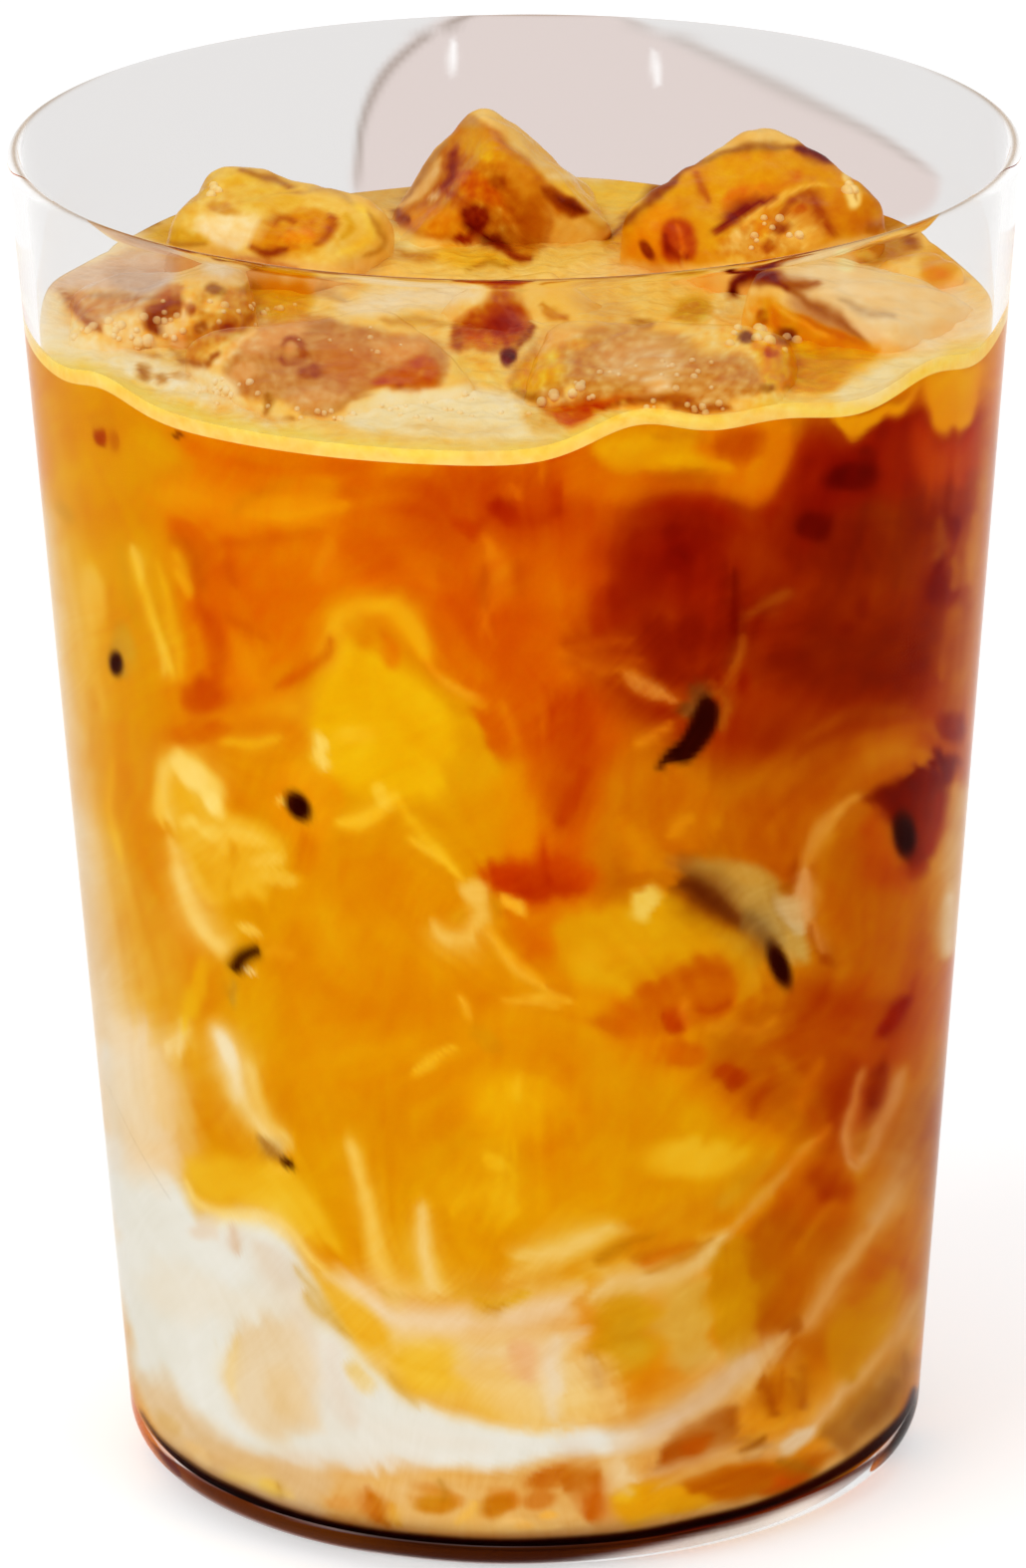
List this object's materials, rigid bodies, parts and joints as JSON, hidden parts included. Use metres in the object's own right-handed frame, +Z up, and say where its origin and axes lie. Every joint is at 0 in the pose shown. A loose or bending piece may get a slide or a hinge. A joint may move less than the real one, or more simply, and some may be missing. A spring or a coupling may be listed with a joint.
{
  "type": "iced cortado",
  "caption": "Iced coffee with milk in a thin tapered tumbler: milk at the bottom, coffee above it, a crema skin and melting ice blocks at the top.",
  "frame": {"origin": "middle of the foot, on the surface that the tumbler stands on", "axes": "+Z up along the tumbler's axis; the side that the picture shows faces -Y, with +X to its right"},
  "size_m": [0.088, 0.088, 0.12],
  "materials": {
    "clear_glass": "clear thin glass, polished",
    "milk_white": "milk seen through the glass, smooth",
    "coffee_amber": "coffee marbled with milk, amber to red-brown, smooth",
    "crema_cream": "pale golden crema, wet",
    "melting_ice": "wet melting ice stained amber by the coffee"
  },
  "bodies": {
    "root": {"glass": "clear_glass", "milk": "milk_white", "coffee": "coffee_amber", "crema": "crema_cream", "ice_back_left": "melting_ice", "ice_back_middle": "melting_ice", "ice_back_right": "melting_ice", "ice_left": "melting_ice", "ice_front_left": "melting_ice", "ice_front_right": "melting_ice", "ice_right": "melting_ice", "ice_middle": "melting_ice", "ice_far_right": "melting_ice"}
  },
  "joints": []
}
